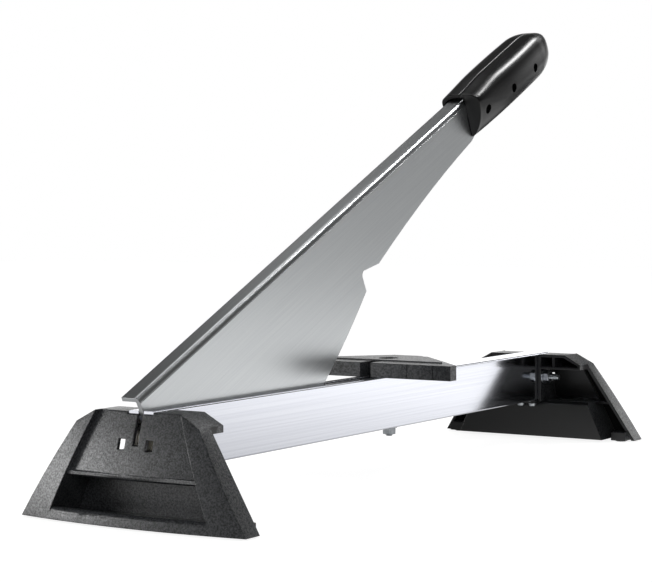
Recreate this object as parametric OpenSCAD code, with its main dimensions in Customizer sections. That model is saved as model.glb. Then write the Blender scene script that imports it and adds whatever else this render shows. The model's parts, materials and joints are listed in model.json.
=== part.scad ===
// Laminate cutter. A slotted box beam stands on two moulded feet. A folded cutting arm swings
// about a bolt in the front foot, through the slot, and a stop plate swivels on top of the beam.
// X runs across the beam, Y along it towards the rear foot, and Z is up from the ground.

/* [Beam] */
// Length over the outer corners of both feet
base_len = 600; // [560:5:700]
// Width of the box section
beam_w = 21; // [19:0.5:28]
// Height of the box section
beam_h = 42; // [38:0.5:50]
// Wall of the box section
beam_wall = 2.2; // [1.6:0.1:3]
// Outside corner radius of the box section
beam_corner = 1.4; // [0.6:0.1:2]
// Height of the underside of the beam above the ground
beam_z = 34.7; // [31:0.1:42]
// How far the top of the beam stands above the roofs of the feet
beam_proud = 0.65; // [0.2:0.05:1.5]

/* [Feet] */
// Width of a foot at the ground
foot_w = 191.6; // [175:0.2:230]
// Width of a foot at its shoulders
shoulder_w = 104.8; // [96:0.2:120]
// Width of the flat roof of a foot
top_w = 73.8; // [66:0.2:84]
// Height of the chamfer between the roof and the shoulder
shoulder_drop = 8.2; // [5:0.1:10]
// How far the front leans back at the roof
face_setback = 17; // [12:0.1:20]
// How far the front bows out between its lower corners
face_bow = 8; // [5:0.1:10]
// How far the leaning front swells at half height
face_crown = 2; // [0.5:0.1:3]
// Wall of the moulding
foot_wall = 3; // [2.4:0.1:4]
// Depth of the side walls at the ground
side_depth_low = 16; // [12:0.5:22]
// Depth of the side walls at the roof
side_depth_top = 22; // [19:0.5:28]
// Depth of the roof box, from the lower corners
roof_reach = 36; // [34:0.2:44]
// Clearance of the roof box over the washers below it
roof_gap = 0.8; // [0.4:0.1:2]
// Wall of the roof box and its ribs
roof_wall = 2.4; // [1.6:0.1:3]
// Distance of the roof ribs from the middle
roof_rib_x = 26; // [22:0.5:32]
// How far the middle panel lies behind the flanks
panel_recess = 4.6; // [3.4:0.1:5.4]
// Width of the middle panel at the roof
panel_top_w = 72; // [62:0.5:73]
// Width of the grip pocket at its sill
panel_low_w = 135; // [120:0.5:150]
// Height of the lip in front of the grip pocket
sill_h = 5.2; // [4:0.1:7]
// Diameter of the rounded sill behind the lip
sill_d = 7; // [5:0.1:9]
// Depth of the grip pocket, from the lower corners
pocket_depth = 32.4; // [29:0.2:37]
// Wall of the grip pocket
pocket_wall = 2.6; // [2:0.1:3.4]
// Thickness of the cheeks that hold the beam
cheek_t = 2.8; // [2:0.1:4]
// Height of the slit's lower end above the ground
slit_z = 54; // [50:0.5:58]
// Distance of the panel windows from the middle
window_x = 11.9; // [10:0.1:18]
// Width of a panel window
window_w = 5.6; // [4:0.1:8]
// Height of a panel window
window_h = 7; // [5:0.1:11]
// Height of the windows' lower edges above the ground
window_z = 50.8; // [47:0.1:53]
// Distance of the pads from the middle
pad_x = 82; // [76:0.5:84]
// Distance of the pads from the lower corners
pad_y = 14; // [10:0.5:16]
// Diameter of a pad
pad_d = 11; // [8:0.5:13]
// How far a pad stands below the foot
pad_proud = 0.8; // [0.6:0.1:2]
// How deep a pad sits in the foot
pad_sunk = 2.5; // [1.5:0.1:4]

/* [Arm] */
// Thickness of the folded plate
arm_t = 3; // [2.4:0.1:3.4]
// Rise of the flange at rest, in degrees
arm_angle = 25.9; // [18:0.1:40]
// Distance of the pivot from the lower corners of the front foot
pivot_inset = 29; // [27:0.2:30]
// Height of the flange's top above the pivot, square to the flange
flange_rise = 35.2; // [34:0.1:40]
// Width of the flange
flange_w = 14.8; // [10:0.1:18]
// Outside radius of the fold
fold_r = 4; // [3.6:0.1:6]
// How far the arm reaches in front of the pivot
arm_front = 4.5; // [3:0.1:8]
// Radius of the eye round the pivot
eye_r = 12; // [10:0.5:13]
// Distance of the cutting tip from the pivot, along the flange
tip_u = 276.5; // [270:0.5:280]
// Depth of the cutting tip below the pivot, square to the flange
tip_drop = 35.6; // [33:0.2:38]
// Angle of the cutting edge to the flange at the tip, in degrees
tip_angle = 26.5; // [23:0.1:28]
// Length of the slightly bowed cutting edge behind the tip
edge_len = 89; // [80:0.5:95]
// Radius of the bowed cutting edge
edge_r = 600; // [450:10:900]
// Radius of the belly between the cutting edge and the eye
belly_r = 90; // [80:1:110]
// Length of the notch that lands above the stop
notch_len = 26; // [20:0.5:32]
// Height of the notch over the cutting tip
notch_h = 16; // [13:0.5:18]
// How far the notch slants down towards the grip
notch_slant = 5.2; // [3:0.1:7]
// Depth of the bar below the pivot line at the grip
bar_drop = 0.8; // [-3:0.1:3]
// Hollow of the bar's lower edge between the notch and the grip
bar_bow = 3.1; // [1:0.1:5]
// Height of the raised band below the fold
band_h = 10; // [6:0.5:14]
// How far the raised band stands out of the plate
band_t = 0.35; // [0.2:0.05:0.5]
// Side clearance of the arm in the slots
slot_clear = 0.35; // [0.25:0.05:0.6]

/* [Grip] */
// Distance of the grip's front from the pivot, at its top
grip_u = 484; // [476:0.5:492]
// Length of the grip
grip_len = 156; // [150:0.5:175]
// Width of the grip at its front
grip_front_w = 36; // [34:0.5:40]
// Width of the grip at the middle of the hand
grip_mid_w = 43.6; // [41:0.2:46]
// Width of the grip where its rounded end starts
grip_end_w = 41.4; // [38:0.2:44]
// Length of the rounded end
grip_cap = 39; // [30:0.5:44]
// How far the grip's middle lies to the left of the plate
grip_offset = 2.2; // [0:0.1:3]
// Height of the grip above the flange
grip_crown = 8.3; // [7:0.1:11]
// Height of the grip
grip_h = 42; // [40:0.2:46]
// How far the front leans back at its top
grip_lean = 1.5; // [0.5:0.1:5]
// Wall of the grip round its mouth
grip_wall = 3; // [2:0.1:4]
// Gap between the two half shells
seam_gap = 0.3; // [0.1:0.05:0.6]
// Distance between the grip screws
screw_pitch = 44.4; // [38:0.1:46]
// Distance of the first grip screw from the grip's front
screw_start = 11.6; // [11:0.1:16]
// Diameter of a grip screw
screw_d = 4; // [3:0.5:5]

/* [Stop] */
// Distance of the stop bolt from the pivot
stop_reach = 298.8; // [296:0.2:306]
// Width of the stop plate
stop_w = 154; // [140:1:180]
// Thickness of the stop plate
stop_t = 12.6; // [11:0.1:13]
// Distance of the stop's front face from its bolt
stop_front = 35; // [32:0.2:38]
// Distance of the stop's back edge from its bolt
stop_back = 36; // [32:0.2:40]
// Depth of the stop's end faces
stop_end = 9.4; // [6:0.2:14]
// Width of the blade gap in the stop
gap_w = 9.4; // [8.6:0.1:11]
// Depth of the blade gap in the stop
gap_depth = 18.6; // [17:0.2:20]
// Height of the raised plateau on the stop
plateau_h = 1; // [0.6:0.1:1.6]
// Distance of the plateau from the stop's front face
plateau_y = 19; // [19:0.2:22]
// Wall of the stop plate, which is hollow below
stop_wall = 3; // [2.4:0.1:4]
// Clearance of the stop plate over the beam
stop_lift = 0.15; // [0.1:0.05:0.3]

/* [Fasteners] */
// Diameter of the pivot, rear and stop bolts
bolt_d = 6; // [5:0.5:8]
// Width across flats of the nuts and bolt heads
nut_af = 10; // [9.5:0.5:13]
// Height of the nuts
nut_h = 5; // [4:0.5:6.5]
// Thickness of the washers
washer_t = 1.2; // [0.8:0.1:1.6]
// Diameter of the washers
washer_d = 13; // [12:0.5:15]
// Length of thread beyond the nuts
thread_out = 8.6; // [2:0.2:10]
// Radial clearance of still bolts in their holes
hole_clear = 0.1; // [0.05:0.01:0.2]
// Radial clearance of turning pieces on their bolts
run_clear = 0.05; // [0.02:0.01:0.1]

/* [Hidden] */
$fn = 64;
eps = 0.01;
lap = 0.5;                                     // overlap of walls that are moulded in one piece
big = 400;
fit = 0.15;                                    // foot round the beam
side_play = 0.2;                               // bush beside the tube wall

beam_top = beam_z + beam_h;
axis_z = beam_z + beam_h / 2;                  // pivot and rear bolt, at half height of the beam
pivot_y = pivot_inset - base_len / 2;
slot_w = arm_t + 2 * (band_t + slot_clear);

// The foot, in its own frame: x across, y inwards from the lower corners, z up
roof_z = beam_top - beam_proud;
shoulder_z = roof_z - shoulder_drop;
roof_box_z = axis_z + washer_d / 2 + roof_gap;
side_slope = (foot_w - shoulder_w) / 2 / (shoulder_z - pad_proud);
side_wall_x = foot_wall * sqrt(1 + side_slope * side_slope);
bow_r = (foot_w * foot_w / 4 + face_bow * face_bow) / (2 * face_bow);
bow_sweep = 4 * asin(foot_w / 2 / bow_r);
face_steps = 5;
front_y = -face_bow - 1;                       // just in front of the foot
sill_z = pad_proud + sill_h;
panel_slope = (panel_low_w - panel_top_w) / 2 / (roof_z - sill_z);
cheek_x = beam_w / 2 + fit + cheek_t;          // outer face of a cheek
panel_back_y = face_setback - face_bow + panel_recess + foot_wall;
lip_inset = 0.7;                               // beam's lip behind the panel's front
foot_screw_d = 4;
foot_screw_x = beam_w / 2 - beam_wall - foot_screw_d / 2 - lap;
foot_screw_y = pocket_depth + 5;
foot_screw_head = 7.5;
foot_screw_head_h = 2.6;
foot_reach = foot_screw_y + foot_screw_head;   // behind the farthest point of the tongue

stop_y = pivot_y + stop_reach;
stop_z = beam_top + stop_lift;
stop_recess_d = washer_d + 3;
stop_recess_floor = stop_t - 6.4;
slot_end = stop_y - stop_front + gap_depth;    // the blade slot ends with the gap in the stop
low_slot_w = slot_w + 3;
slot_land = 6;                                 // between the foot screws and the lower slot
stop_land = 28;                                // between the lower slot and the stop's front
low_slot_start = foot_screw_y + foot_screw_d / 2 + slot_land - base_len / 2;
low_slot_end = stop_y - stop_front - stop_land;

// The arm, in its own frame: u along the flange from the pivot, v square to it
web_top = flange_rise - fold_r;
tip_v = -tip_drop;
edge_mid = [tip_u - edge_r * sin(tip_angle), tip_v + edge_r * cos(tip_angle)];
edge_end_angle = tip_angle - edge_len / edge_r * 180 / PI;
edge_end = edge_mid + edge_r * [sin(edge_end_angle), -cos(edge_end_angle)];
belly_mid = edge_end + belly_r * [-sin(edge_end_angle), cos(edge_end_angle)];
belly_end_angle = atan2(belly_mid.y, belly_mid.x) - asin((belly_r - eye_r) / norm(belly_mid));
notch_v = tip_v + notch_h;
notch_in = [tip_u, notch_v];
notch_out = [tip_u + notch_len, notch_v - notch_slant];
notch_r = 4;
bar_end = [grip_u - 3, -bar_drop];             // where the bar's lower edge meets the grip

grip_top = flange_rise + grip_crown;
grip_low = grip_top - grip_h;
grip_mid = (grip_top + grip_low) / 2;
grip_end = grip_u + grip_len;
cap_shape = 1.3;                               // how fast the rounded end closes
cap_blunt = 0.25;                              // height that is left at the very end
top_shape = 0.65;                              // squareness of the section above
keel_shape = 1.1;                              // and below, where it draws in to a keel
tang_neck = 22;                                // length of the plate's full height inside the grip
tang_tip = 20;                                 // between the end of the tang and the grip's end
flange_in = 30;                                // length of the flange inside the grip
tang_u = grip_u + tang_neck;
tang_end = grip_end - tang_tip;
tang_top = flange_rise - 6;
tang_low = grip_low + 6;
flange_end = grip_u + flange_in;
tang_fit = 0.2;
screw_v = grip_mid - 0.5;
screw_seat = 8;
screw_head_d = screw_d + 3;
screw_head_h = 2.6;
screw_nut_af = screw_d + 3;
screw_nut_h = screw_d - 0.8;

function foot_half(z) = foot_w / 2 - side_slope * (z - pad_proud);
function lean(z) =
    let (t = (z - pad_proud) / (roof_z - pad_proud)) face_setback * t - 4 * face_crown * t * (1 - t);
function bow_y(x) = bow_r - sqrt(bow_r * bow_r - x * x) - face_bow;
function front_at(x, z) = bow_y(x) + lean(z);
function panel_y(z) = front_at(0, z) + panel_recess;
function panel_half(z) = panel_top_w / 2 + panel_slope * (roof_z - z);
function arc(mid, r, from, to, steps) =
    [for (i = [0:steps]) let (a = from + (to - from) * i / steps) mid + r * [cos(a), sin(a)]];
function bow(from, to, rise, steps) =
    [for (i = [0:steps]) let (t = i / steps) from + (to - from) * t + [0, 4 * rise * t * (1 - t)]];
function mirror_x(points) = concat(points, [for (i = [len(points) - 1:-1:0]) [-points[i].x, points[i].y]]);

// A flat outline in (x, z), run along y
module along_y(from, to) {
    translate([0, to, 0]) rotate([90, 0, 0]) linear_extrude(to - from) children();
}

// A flat outline in (y, z), run along x
module along_x(from, to) {
    translate([from, 0, 0]) rotate([90, 0, 90]) linear_extrude(to - from) children();
}

module x_cylinder(d, from, to) {
    translate([from, 0, 0]) rotate([0, 90, 0]) cylinder(d = d, h = to - from);
}

module ring(d, bore, h) {
    difference() {
        cylinder(d = d, h = h);
        translate([0, 0, -1]) cylinder(d = bore, h = h + 2);
    }
}

module hex(af, h) {
    cylinder(d = af / cos(30), h = h, $fn = 6);
}

module round_square(w, h, r) {
    union() {
        translate([-w / 2 + r, -h / 2]) square([w - 2 * r, h]);
        translate([-w / 2, -h / 2 + r]) square([w, h - 2 * r]);
        for (x = [-1, 1], z = [-1, 1]) translate([x * (w / 2 - r), z * (h / 2 - r)]) circle(r);
    }
}

module at_front_foot() {
    translate([0, -base_len / 2, 0]) children();
}

module at_rear_foot() {
    rotate([0, 0, 180]) at_front_foot() children();
}

module at_pivot() {
    translate([0, pivot_y, axis_z]) children();
}

module at_rear_bolt() {
    translate([0, -pivot_y, axis_z]) children();
}

module at_stop() {
    translate([0, stop_y, stop_z]) children();
}

// Children drawn in the arm's frame, at rest
module on_arm() {
    at_pivot() rotate([arm_angle, 0, 0]) children();
}

// Beam: box section with blade slots, bolt holes, and a lip at each end that shows in the roof
module beam() {
    tube_end = base_len / 2 - panel_back_y - fit;
    lip_end = base_len / 2 - panel_y(roof_z) - lip_inset;
    color("#d9dbdd") difference() {
        union() {
            translate([0, 0, axis_z]) along_y(-tube_end, tube_end) difference() {
                round_square(beam_w, beam_h, beam_corner);
                square([beam_w - 2 * beam_wall, beam_h - 2 * beam_wall], center = true);
            }
            intersection() {
                translate([0, 0, axis_z]) along_y(-lip_end, lip_end) round_square(beam_w, beam_h, beam_corner);
                translate([-beam_w, -lip_end, beam_top - beam_wall]) cube([2 * beam_w, 2 * lip_end, beam_wall]);
            }
        }
        translate([-slot_w / 2, -lip_end - 1, beam_top - beam_wall - 1])
            cube([slot_w, slot_end + lip_end + 1, beam_wall + 2]);
        translate([-low_slot_w / 2, low_slot_start, beam_z - 1])
            cube([low_slot_w, low_slot_end - low_slot_start, beam_wall + 2]);
        for (y = [pivot_y, -pivot_y])
            translate([0, y, axis_z]) x_cylinder(bolt_d + 2 * hole_clear, -beam_w, beam_w);
        translate([0, stop_y, beam_z - 1]) cylinder(d = bolt_d + 2 * hole_clear, h = beam_h + 2);
        for (end = [-1, 1], x = [-1, 1])
            translate([x * foot_screw_x, end * (base_len / 2 - foot_screw_y), beam_z - 1])
                cylinder(d = foot_screw_d + 2 * hole_clear, h = beam_wall + 2);
    }
}

// Outline of a foot from the front, without its bottom
module foot_outline() {
    polygon(mirror_x([[foot_half(pad_proud), pad_proud], [shoulder_w / 2, shoulder_z], [top_w / 2, roof_z]]));
}

module foot_inside() {
    polygon(mirror_x([
        [foot_half(pad_proud - 1) - side_wall_x, pad_proud - 1],
        [shoulder_w / 2 - side_wall_x, shoulder_z],
        [top_w / 2 - side_wall_x / 2, roof_z - foot_wall]
    ]));
}

// A flat outline in (radius, z), swept along the bow of the front
module along_bow() {
    translate([0, bow_r - face_bow, 0]) rotate([0, 0, -90 - bow_sweep / 2])
        rotate_extrude(angle = bow_sweep, $fn = 180) children();
}

// Slab that follows the bowed and leaning front, from a depth to a depth behind it
module face_slab(from, to) {
    heights = [for (i = [0:face_steps]) pad_proud - 1 + (roof_z - pad_proud + 2) * i / face_steps];
    along_bow() polygon(concat(
        [for (z = heights) [bow_r - lean(z) - from, z]],
        [for (i = [face_steps:-1:0]) [bow_r - lean(heights[i]) - to, heights[i]]]
    ));
}

// Trapezium of the middle panel and pocket, between two heights, grown sideways
module panel_outline(low, high, grow) {
    polygon(mirror_x([[panel_half(low) + grow, low], [panel_half(high) + grow, high]]));
}

module foot_sides() {
    intersection() {
        along_y(front_y, side_depth_top) difference() {
            foot_outline();
            foot_inside();
        }
        along_x(-foot_w, foot_w) polygon([
            [front_y, pad_proud], [side_depth_low, pad_proud], [side_depth_top, roof_z], [front_y, roof_z]
        ]);
    }
}

// Flanks and lip in one surface, and the block that the middle panel is cut back into
module foot_face() {
    difference() {
        intersection() {
            along_y(front_y, foot_reach) foot_outline();
            face_slab(-2, foot_wall);
        }
        along_y(front_y - 1, foot_reach + 1) panel_outline(sill_z, roof_z + 1, 0);
    }
    intersection() {
        along_y(front_y, foot_reach) intersection() {
            foot_outline();
            panel_outline(beam_z, roof_z, foot_wall);
        }
        face_slab(-2, panel_recess + foot_wall);
    }
}

// Roof box, open towards the beam, with a rib each side
module foot_roof() {
    inner_half = shoulder_w / 2 - roof_wall;
    along_y(front_y, roof_reach) difference() {
        polygon(mirror_x([[shoulder_w / 2, roof_box_z], [shoulder_w / 2, shoulder_z], [top_w / 2, roof_z]]));
        difference() {
            polygon(mirror_x([
                [inner_half, roof_box_z + roof_wall],
                [inner_half, shoulder_z - roof_wall / 2],
                [top_w / 2 - roof_wall / 2, roof_z - roof_wall]
            ]));
            for (x = [-1, 1])
                translate([x * roof_rib_x - roof_wall / 2, roof_box_z])
                    square([roof_wall, roof_z - roof_box_z]);
        }
    }
}

// Grip pocket, open in front, with its shelf and a tongue under the beam
module foot_pocket() {
    back_r = 4;
    floor_z = pad_proud + 1;
    outer_x = panel_half(pad_proud) + pocket_wall;
    shelf_y = front_at(foot_half(beam_z), beam_z) + lap / 2;
    difference() {
        intersection() {
            along_y(front_y, pocket_depth) panel_outline(floor_z, beam_z, pocket_wall);
            along_x(-foot_w, foot_w) union() {
                polygon([
                    [front_at(outer_x, pad_proud) + lap, pad_proud], [pocket_depth, pad_proud],
                    [pocket_depth, beam_z - back_r], [pocket_depth - back_r, beam_z],
                    [front_at(outer_x, beam_z) + lap, beam_z]
                ]);
                translate([pocket_depth - back_r, beam_z - back_r]) circle(back_r);
            }
        }
        along_y(front_y - 1, pocket_depth - pocket_wall)
            panel_outline(floor_z + pocket_wall, beam_z - pocket_wall, lap / 2);
    }
    translate([-beam_w / 2, pocket_depth - 2 * pocket_wall, beam_z - pocket_wall])
        cube([beam_w, foot_screw_y - pocket_depth + 2 * pocket_wall + foot_screw_head / 2 + 1, pocket_wall]);
    // shelf out to the side walls
    along_y(shelf_y, side_depth_low) polygon(mirror_x([
        [foot_half(beam_z - pocket_wall) - lap, beam_z - pocket_wall], [foot_half(beam_z) - lap, beam_z]
    ]));
    // rounded lip under the middle panel
    lip_d = foot_wall + pocket_wall;
    lip_proud = 0.4;
    lip_r = bow_r - lean(beam_z) - panel_recess + lip_proud;
    intersection() {
        along_bow() translate([lip_r - lip_d / 2, beam_z - pocket_wall / 2]) circle(d = lip_d);
        along_y(front_y, foot_reach) panel_outline(beam_z - lip_d, beam_z + lip_d, lap);
    }
}

// Rounded sill that follows the bow behind the lip
module foot_sill() {
    sill_front = bow_r - 1;
    intersection() {
        along_bow() union() {
            translate([sill_front - sill_d / 2, sill_z]) circle(d = sill_d);
            translate([sill_front - sill_d, pad_proud]) square([sill_d, sill_h]);
        }
        along_y(front_y, foot_reach) panel_outline(pad_proud, sill_z + sill_d, 1);
    }
}

// Block in each lower corner that carries a pad
module foot_pad_blocks() {
    pad_land = 1.5;
    block_h = pad_sunk + 5;
    block_y = front_at(foot_w / 2, pad_proud + block_h) + lap;
    intersection() {
        along_y(block_y, roof_reach) foot_outline();
        for (x = [-1, 1]) translate([x * pad_x - pad_d / 2 - pad_land, 0, pad_proud])
            cube([pad_d + 2 * pad_land, pad_y + pad_d / 2 + pad_land, block_h]);
    }
}

module foot_cheeks() {
    for (x = [-cheek_x, cheek_x - cheek_t]) translate([x, 0, 0]) along_x(0, cheek_t) polygon([
        [panel_y(beam_z) + foot_wall / 2, beam_z - 1], [roof_reach, beam_z - 1],
        [roof_reach, roof_z - 1], [panel_y(roof_z) + foot_wall / 2, roof_z - 1]
    ]);
}

// Outer walls, trimmed to the bowed front, with the middle panel cut back
module foot_walls() {
    difference() {
        union() {
            foot_sides();
            foot_face();
            foot_roof();
        }
        face_slab(-foot_reach, 0);
        intersection() {
            along_y(front_y - 1, foot_reach + 1) panel_outline(sill_z, roof_z + 1, 0);
            face_slab(-3, panel_recess);
        }
    }
}

// One foot, before it is placed: its lower corners lie at y = 0
module foot() {
    through = panel_back_y - front_y + 1;
    color("#3b3d40") difference() {
        union() {
            foot_walls();
            foot_pocket();
            foot_sill();
            foot_pad_blocks();
            foot_cheeks();
        }
        // seat of the beam, and the notch for its lip
        translate([-beam_w / 2 - fit, panel_back_y, beam_z]) cube([beam_w + 2 * fit, big, beam_h]);
        translate([-beam_w / 2 - fit, front_y, beam_top - beam_wall - fit])
            cube([beam_w + 2 * fit, big, beam_wall * 3]);
        // slit for the arm and the two windows
        translate([-slot_w / 2, front_y, slit_z]) cube([slot_w, through, big]);
        for (x = [-1, 1]) translate([x * window_x - window_w / 2, front_y, window_z])
            cube([window_w, through, window_h]);
        translate([0, pivot_inset, axis_z]) x_cylinder(bolt_d + 2 * hole_clear, -big / 2, big / 2);
        for (x = [-1, 1]) {
            translate([x * foot_screw_x, foot_screw_y, beam_z - 2 * pocket_wall])
                cylinder(d = foot_screw_d + 2 * hole_clear, h = 4 * pocket_wall);
            translate([x * pad_x, pad_y, -1])
                cylinder(d = pad_d + 2 * hole_clear, h = pad_proud + pad_sunk + 1);
        }
    }
}

module front_foot() {
    at_front_foot() foot();
}

module rear_foot() {
    at_rear_foot() foot();
}

// Rubber pads, pressed into the corner blocks
module pads() {
    color("#1c1c1d") for (x = [-1, 1]) translate([x * pad_x, pad_y, 0]) {
        cylinder(d1 = pad_d - 1.6, d2 = pad_d, h = pad_proud - eps);
        translate([0, 0, pad_proud - eps]) cylinder(d = pad_d, h = pad_sunk + eps);
    }
}

module front_pads() {
    at_front_foot() pads();
}

module rear_pads() {
    at_rear_foot() pads();
}

// Pan head screws up through the shelf into the beam
module foot_screws() {
    color("#c9ccd0") for (x = [-1, 1]) translate([x * foot_screw_x, foot_screw_y, beam_z - pocket_wall]) {
        cylinder(d = foot_screw_d, h = pocket_wall + beam_wall + 3);
        translate([0, 0, -foot_screw_head_h]) difference() {
            cylinder(d1 = foot_screw_head - 1.6, d2 = foot_screw_head, h = foot_screw_head_h);
            translate([0, 0, -1]) hex(3, 2.4);
        }
    }
}

module front_foot_screws() {
    at_front_foot() foot_screws();
}

module rear_foot_screws() {
    at_rear_foot() foot_screws();
}

// Bolt across a foot: head and washer on the left cheek, washer and nut on the right one
module cross_bolt() {
    nut_face = cheek_x + washer_t + nut_h;
    color("#c9ccd0") {
        x_cylinder(bolt_d, -cheek_x - washer_t, nut_face + thread_out);
        translate([-cheek_x - washer_t - 4, 0, 0]) rotate([0, 90, 0]) hex(nut_af, 4);
    }
}

module cross_washers() {
    color("#c9ccd0") for (x = [-cheek_x - washer_t, cheek_x])
        translate([x, 0, 0]) rotate([0, 90, 0]) ring(washer_d, bolt_d + 2 * hole_clear, washer_t);
}

module cross_nut() {
    color("#c9ccd0") translate([cheek_x + washer_t, 0, 0]) rotate([0, 90, 0]) difference() {
        hex(nut_af, nut_h);
        translate([0, 0, -1]) cylinder(d = bolt_d + 2 * hole_clear, h = nut_h + 2);
    }
}

module pivot_bolt() {
    at_pivot() cross_bolt();
}

module pivot_washers() {
    at_pivot() cross_washers();
}

module pivot_nut() {
    at_pivot() cross_nut();
}

// Bushes that keep the arm in the middle of the beam
module pivot_bushes() {
    bush_len = (beam_w - arm_t) / 2 - beam_wall - side_play;
    color("#e8e6df") at_pivot() for (side = [0, 180])
        rotate([0, 0, side]) translate([arm_t / 2, 0, 0]) rotate([0, 90, 0])
            ring(2 * eye_r - 6, bolt_d + 2 * run_clear, bush_len);
}

module rear_bolt() {
    at_rear_bolt() cross_bolt();
}

module rear_washers() {
    at_rear_bolt() cross_washers();
}

module rear_nut() {
    at_rear_bolt() cross_nut();
}

// Sleeve that takes the pull of the rear bolt between the walls of the beam
module rear_sleeve() {
    sleeve_len = beam_w - 2 * beam_wall;
    color("#c9ccd0") at_rear_bolt() translate([-sleeve_len / 2, 0, 0]) rotate([0, 90, 0])
        ring(nut_af, bolt_d + 2 * hole_clear, sleeve_len);
}

// Outline of the arm's plate: flange edge, tang, bar, notch, cutting edge, belly and eye
module arm_outline() {
    polygon(concat(
        [[-arm_front, web_top], [tang_u, web_top], [tang_u, tang_top]],
        [[tang_end, tang_top], [tang_end, tang_low], [tang_u, tang_low]],
        bow(bar_end, notch_out, bar_bow, 14),
        arc(notch_in + [notch_r, -notch_r], notch_r, 90, 180, 6),
        arc(edge_mid, edge_r, tip_angle - 90, edge_end_angle - 90, 8),
        arc(belly_mid, belly_r, edge_end_angle - 90, belly_end_angle - 90, 14),
        [eye_r * [sin(belly_end_angle), -cos(belly_end_angle)], [-arm_front, 0]]
    ));
    circle(eye_r);
}

// Cross-section of the fold and flange, which turns away to the left
module fold_section() {
    fold_mid = [arm_t / 2 - fold_r, web_top];
    translate(fold_mid) intersection() {
        difference() {
            circle(fold_r);
            circle(fold_r - arm_t);
        }
        square(fold_r + 1);
    }
    translate([arm_t / 2 - flange_w, flange_rise - arm_t]) square([flange_w - fold_r, arm_t]);
}

module cutting_arm() {
    color("#c4c7c9") on_arm() difference() {
        union() {
            along_x(-arm_t / 2, arm_t / 2) arm_outline();
            along_y(-arm_front, flange_end) fold_section();
            translate([0, -arm_front, web_top - band_h])
                cube([arm_t / 2 + band_t, flange_end + arm_front, band_h]);
        }
        x_cylinder(bolt_d + 2 * run_clear, -arm_t, arm_t);
        for (i = [0:2]) translate([0, grip_u + screw_start + i * screw_pitch, screw_v])
            x_cylinder(screw_d + 2 * hole_clear, -arm_t, arm_t);
    }
}

// Half width of the grip, from 0 at its front to 1 where its rounded end starts
function grip_half_w(t) =
    grip_front_w / 2 * (1 - t) * (1 - 2 * t)
    + 2 * grip_mid_w * t * (1 - t)
    + grip_end_w / 2 * t * (2 * t - 1);

// Section of the grip: a rounded square above, drawn in to a keel below
function grip_section(half, tall) =
    [for (a = [0:10:350]) let (c = cos(a), s = sin(a), n = s > 0 ? top_shape : keel_shape)
        [half * sign(c) * pow(abs(c), n) - grip_offset, grip_mid + tall * sign(s) * pow(abs(s), n)]];

// Solid form of the whole grip, lofted through its sections
module grip_form() {
    front = grip_u - grip_lean - 6;
    straight = grip_len - grip_cap;
    sections = concat(
        [[front, grip_front_w / 2, grip_h / 2]],
        [for (t = [0:0.25:1]) [grip_u + straight * t, grip_half_w(t), grip_h / 2]],
        [for (a = [17:17:85]) let (k = pow(cos(a), cap_shape), tall = cap_blunt + (1 - cap_blunt) * k)
            [grip_end - grip_cap * (1 - sin(a)), k * grip_end_w / 2, tall * grip_h / 2]]
    );
    difference() {
        hull() for (s = sections) along_y(s[0] - 0.1, s[0]) polygon(grip_section(s[1], s[2]));
        // slanted front
        along_x(-big, big) polygon([
            [front - 1, grip_low - 1], [grip_u - grip_lean, grip_low - 1],
            [grip_u, grip_top + 1], [front - 1, grip_top + 1]
        ]);
    }
}

// Room for the tang, the flange and the screws inside the grip, and the mouth round the flange
module grip_hollow() {
    room = arm_t / 2 + tang_fit;
    mouth_front = grip_u - grip_lean - 8;
    mouth_depth = 8;
    along_y(mouth_front, grip_u + mouth_depth) intersection() {
        polygon(grip_section(grip_front_w / 2 - grip_wall, grip_h / 2 - grip_wall));
        translate([-big, web_top - fold_r]) square([big + room, big]);
    }
    along_x(-room, room + band_t) polygon([
        [0, grip_low - big / 10], [bar_end.x, bar_end.y - tang_fit], [tang_u, tang_low - tang_fit],
        [tang_end + tang_fit, tang_low - tang_fit], [tang_end + tang_fit, tang_top + tang_fit],
        [flange_end + tang_fit, tang_top + tang_fit], [flange_end + tang_fit, flange_rise + tang_fit],
        [0, flange_rise + tang_fit]
    ]);
    flange_left = arm_t / 2 - flange_w - tang_fit;
    translate([flange_left, mouth_front, web_top - tang_fit])
        cube([room - flange_left, flange_end + tang_fit - mouth_front, fold_r + 2 * tang_fit]);
    for (i = [0:2]) translate([0, grip_u + screw_start + i * screw_pitch, screw_v]) {
        x_cylinder(screw_d + 2 * hole_clear, -big / 4, big / 4);
        x_cylinder(screw_head_d + 1, screw_seat, big / 4);
        translate([-big / 4, 0, 0]) rotate([0, 90, 0])
            hex(screw_nut_af + 2 * hole_clear, big / 4 - screw_seat);
    }
}

// One half of the grip: side is -1 for the left half and 1 for the right half
module grip_half(side) {
    color("#1d1e20") on_arm() difference() {
        intersection() {
            grip_form();
            translate([side * (big / 2 + seam_gap / 2) - grip_offset, grip_u, 0]) cube(big, center = true);
        }
        grip_hollow();
    }
}

module left_grip_shell() {
    grip_half(-1);
}

module right_grip_shell() {
    grip_half(1);
}

module grip_screws() {
    color("#b9bcc0") on_arm() for (i = [0:2])
        translate([0, grip_u + screw_start + i * screw_pitch, screw_v]) difference() {
            union() {
                x_cylinder(screw_d, -screw_seat - screw_nut_h, screw_seat);
                x_cylinder(screw_head_d, screw_seat, screw_seat + screw_head_h);
            }
            translate([screw_seat + 1, 0, 0]) rotate([0, 90, 0]) hex(screw_d * 0.6, screw_head_h);
        }
}

module grip_nuts() {
    color("#b9bcc0") on_arm() for (i = [0:2])
        translate([-screw_seat - screw_nut_h, grip_u + screw_start + i * screw_pitch, screw_v])
            rotate([0, 90, 0]) difference() {
                hex(screw_nut_af, screw_nut_h);
                translate([0, 0, -1]) cylinder(d = screw_d + 2 * hole_clear, h = screw_nut_h + 2);
            }
}

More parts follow.
